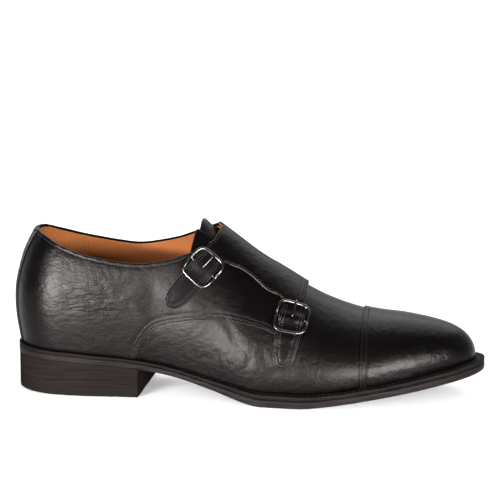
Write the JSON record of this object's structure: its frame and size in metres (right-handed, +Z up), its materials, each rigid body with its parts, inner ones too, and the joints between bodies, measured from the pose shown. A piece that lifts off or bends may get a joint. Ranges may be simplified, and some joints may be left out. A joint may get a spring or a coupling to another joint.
{
  "type": "monk strap shoe",
  "caption": "Right low leather shoe with a straight toe cap, a strapped flap over the instep closed by squared buckles on the outer side, a welted sole and a stacked heel.",
  "frame": {"origin": "middle of the shoe's box seen from above, on the floor", "axes": "+X from heel to toe, +Y towards the inner (medial) side of this right shoe, +Z up"},
  "size_m": [0.3002, 0.1006, 0.11],
  "materials": {
    "upper_leather": "smooth black calf, polished",
    "lining_leather": "smooth tan lining leather, matt",
    "edge_leather": "blackened and waxed sole edge",
    "heel_leather": "stacked leather, stained brown-black and waxed",
    "top_piece_rubber": "black, matt",
    "buckle_metal": "polished, slightly smoked"
  },
  "bodies": {
    "root": {"upper": "upper_leather", "medial_quarter": "upper_leather", "toe_cap": "upper_leather", "backstay": "upper_leather", "tongue": "upper_leather", "insole": "lining_leather", "welt": "edge_leather", "outsole": "edge_leather", "heel_lift_1": "heel_leather", "heel_lift_2": "heel_leather", "heel_lift_3": "heel_leather", "heel_top_piece": "top_piece_rubber", "rear_buckle": "buckle_metal", "front_buckle": "buckle_metal", "rear_prong": "buckle_metal", "front_prong": "buckle_metal"}
  },
  "joints": []
}
